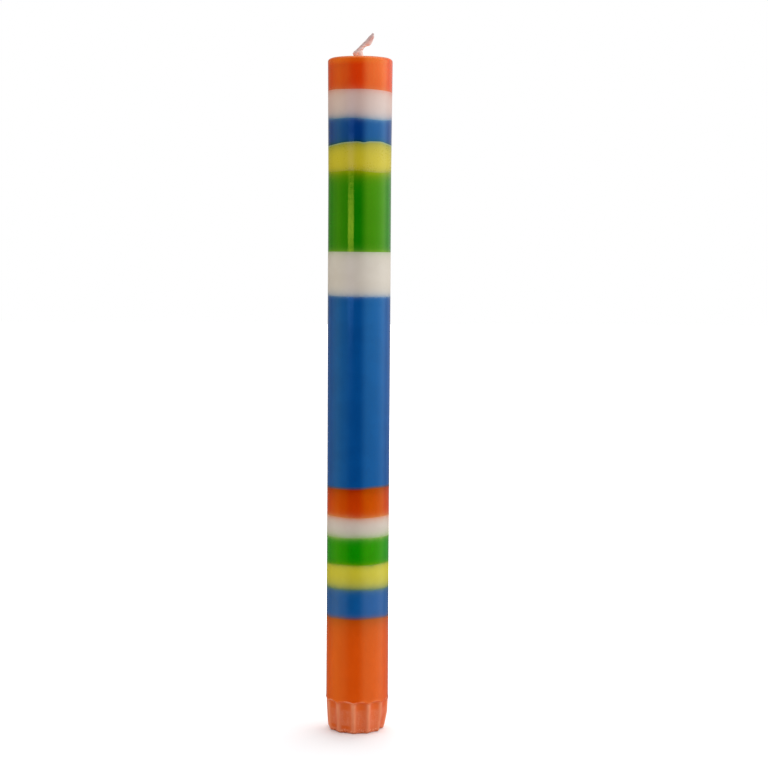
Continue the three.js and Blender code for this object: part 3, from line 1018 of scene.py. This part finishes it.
def join(pieces):
    """Makes one object of several."""
    bpy.ops.object.select_all(action="DESELECT")
    for piece in pieces:
        piece.select_set(True)
    bpy.context.view_layer.objects.active = pieces[0]
    bpy.ops.object.join()
    return bpy.context.object


def strand(number, first, last):
    """One strand of the plait between two steps of the walk."""
    end = STRAND_ENDS[number]
    stop = len(wick_walk) - round(end["short_by"] / STRAND_STEP)
    points = []
    for step in range(first, min(last, stop)):
        x, z, lean, shift, thick = wick_walk[step]
        phase = 2 * math.pi * (step * STRAND_STEP / PLAIT_LENGTH + number / 3)
        frayed = within(stop - step, end["fray"] / STRAND_STEP, 0)
        frayed = frayed * frayed * (3 - 2 * frayed)
        swing = PLAIT_SWING * (thick - STRAND_RADIUS) * math.sin(2 * phase)
        off = (shift + swing) * (1 - frayed) + frayed * end["spread"]
        points.append((
            x - math.cos(lean) * off,
            PLAIT_HALF_WIDTH * math.sin(phase),
            z + math.sin(lean) * off,
            STRAND_RADIUS * (1 - FRAY_THINNING * frayed ** 3),
        ))
    return cord_along(points)


mouth_step = round((WICK_MOUTH - WICK_START) / STRAND_STEP)
last_step = len(wick_walk)
body = cord_along([
    (x - math.cos(lean) * shift, 0, z + math.sin(lean) * shift, thick)
    for x, z, lean, shift, thick in wick_walk[mouth_step - 1:]
], BODY_FLATNESS)
bpy.ops.object.select_all(action="DESELECT")
bpy.ops.mesh.primitive_cone_add(
    vertices=CONE_SIDES, depth=MOUTH_CONE["tall"],
    radius1=MOUTH_CONE["radius"], radius2=MOUTH_CONE["tip"],
    location=(0, 0, MOUTH_CONE["base"] + MOUTH_CONE["tall"] / 2),
)
mouth_cone = bpy.context.object
bpy.ops.object.transform_apply(location=True)
wick = join([body, mouth_cone, *(strand(k, mouth_step - 1, last_step) for k in range(3))])
remesh = wick.modifiers.new("one skin of wax", "REMESH")
remesh.mode = "VOXEL"
remesh.voxel_size = WICK_VOXEL
bpy.ops.object.modifier_apply(modifier=remesh.name)
soften = wick.modifiers.new("soften", "SMOOTH")
soften.factor = 0.5
soften.iterations = 6
bpy.ops.object.modifier_apply(modifier=soften.name)
wick = join([wick, *(strand(k, 0, mouth_step) for k in range(3))])
wick.name = "plaited_wick"

PALE_COTTON = shade(255, 236, 230)
# Rose for random patches on the cotton, and for painted shade on the upper side near the free end.
ROSE_COTTON_AND_SHADE = shade(228, 168, 156)
# Grey for random threads, and for painted shade along the upper edge.
GREY_COTTON_AND_SHADE = shade(208, 184, 182)
# Salmon wax crept up the wick's mouth, painted only on the -X side, where it also stands in for
# shade.
SALMON_WAX_AND_SHADE = shade(255, 204, 182)
FREE_END_WAY = (0.7071, 0, 0.7071)
ACROSS_THE_WAY = (-0.7071, 0, 0.7071)
THREAD_SPOTS = 4200
THREAD_STRETCH = 0.12
THREAD_DEPTH = 0.00002
PATCH_SPOTS = 520
COTTON_ROUGHNESS = 0.35
PATCH_ROUGHNESS = 0.2
ROSE_PATCHES = (0.35, 0.70, 0.0, 0.12)
# Painted shade near the free end, on its upper side.
ROSE_SHADE_FROM = (0.0040, 0.0078, 0.0, 0.9)
ROSE_SHADE_TO = (0.0088, 0.0098, 1.0, 0.0)
ROSE_SHADE_ACROSS = (0.0012, 0.0020, 0.0, 1.0)
# Painted shade along the upper edge.
PAINTED_SHADE_UPPER_EDGE = (0.0022, 0.0030, 0.0, 0.8)
GREY_THREADS = (0.40, 0.60, 0.0, 0.15)
MOUTH_WAX_UP = (0.2519, 0.2529, 1.0, 0.0)
# The salmon fades out towards +X, as painted shade on the -X side.
MOUTH_SHADE_ACROSS = (-0.0010, 0.0010, 1.0, 0.0)

cotton = bpy.data.materials.new("waxed cotton")
cotton.use_nodes = True
tree = cotton.node_tree
tree.nodes.clear()
place = node(tree, "TexCoord").outputs["Object"]
axes = node(tree, "SeparateXYZ", {0: place}).outputs
from_top = node(tree, "VectorMath", {0: place, 1: (0, 0, CANDLE_TOP)}, operation="SUBTRACT")
from_top = from_top.outputs["Vector"]
along = node(tree, "VectorMath", {0: from_top, 1: FREE_END_WAY}, operation="DOT_PRODUCT")
along = along.outputs["Value"]
across = node(tree, "VectorMath", {0: from_top, 1: ACROSS_THE_WAY}, operation="DOT_PRODUCT")
across = across.outputs["Value"]
stretched = calculate(tree, "MULTIPLY", along, THREAD_STRETCH)
thread_place = node(tree, "CombineXYZ", {"X": stretched, "Y": across, "Z": axes["Y"]}).outputs[0]
threads = speckle(tree, thread_place, THREAD_SPOTS)
patches = speckle(tree, place, PATCH_SPOTS)
colour = mix(tree, fade(tree, patches, *ROSE_PATCHES), PALE_COTTON, ROSE_COTTON_AND_SHADE)
# Painted shade, rose, on the upper side near the free end.
rose_shade_near_end = calculate(tree, "MULTIPLY", fade(tree, along, *ROSE_SHADE_FROM), fade(tree, along, *ROSE_SHADE_TO))
rose_shade_near_end = calculate(tree, "MULTIPLY", rose_shade_near_end, fade(tree, across, *ROSE_SHADE_ACROSS))
colour = mix(tree, rose_shade_near_end, colour, ROSE_COTTON_AND_SHADE)
# Painted shade, grey, along the upper edge.
colour = mix(tree, fade(tree, across, *PAINTED_SHADE_UPPER_EDGE), colour, GREY_COTTON_AND_SHADE)
# Salmon wax at the mouth, partly painted shade on the -X side.
mouth_wax_and_shade = fade(tree, axes["Z"], *MOUTH_WAX_UP)
mouth_wax_and_shade = calculate(tree, "MULTIPLY", mouth_wax_and_shade, fade(tree, axes["X"], *MOUTH_SHADE_ACROSS))
colour = mix(tree, mouth_wax_and_shade, colour, SALMON_WAX_AND_SHADE)
colour = mix(tree, fade(tree, threads, *GREY_THREADS), colour, GREY_COTTON_AND_SHADE)
height = calculate(tree, "MULTIPLY", threads, THREAD_DEPTH)
bump = node(tree, "Bump", {"Height": height, "Distance": 1.0, "Strength": 1.0})
roughness = calculate(tree, "MULTIPLY_ADD", patches, PATCH_ROUGHNESS, COTTON_ROUGHNESS)
shader = node(tree, "BsdfPrincipled", {
    "Base Color": colour, "Roughness": roughness, "Normal": bump.outputs[0],
})
node(tree, "OutputMaterial", {"Surface": shader.outputs[0]})
put_in_frame(wick, "wick", cotton, smooth_angle=60)
